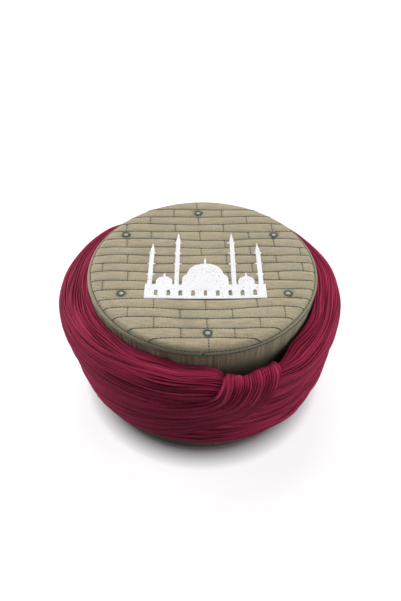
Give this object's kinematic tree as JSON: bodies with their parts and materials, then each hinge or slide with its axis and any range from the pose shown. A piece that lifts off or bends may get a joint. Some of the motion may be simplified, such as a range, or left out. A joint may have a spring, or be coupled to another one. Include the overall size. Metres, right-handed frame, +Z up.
{
  "type": "imam turban",
  "caption": "Round flat-topped quilted cap with an embroidered domed-hall motif and sewn eyelets, wrapped in a thick pleated cloth band whose end is tucked in at the front.",
  "frame": {"origin": "centre of the rim's opening, on the plane that the rim stands on", "axes": "+Z up through the crown, -Y towards the front (the side of the tuck), +X towards the wearer's left, the viewer's right"},
  "size_m": [0.2253, 0.2275, 0.1142],
  "materials": {
    "crown_cloth": "matt khaki cotton, quilted",
    "side_cloth": "matt khaki cotton",
    "eyelet_thread": "dark grey-green sewing thread",
    "motif_thread": "white satin-stitch embroidery",
    "wrap_cloth": "burgundy cotton muslin, finely pleated"
  },
  "bodies": {
    "root": {"side_band": "side_cloth", "crown_panel": "crown_cloth", "eyelet_back": "eyelet_thread", "eyelet_back_right": "eyelet_thread", "eyelet_front_right": "eyelet_thread", "eyelet_front": "eyelet_thread", "eyelet_front_left": "eyelet_thread", "eyelet_back_left": "eyelet_thread", "embroidered_motif": "motif_thread", "wrap": "wrap_cloth", "tucked_end": "wrap_cloth"}
  },
  "joints": []
}
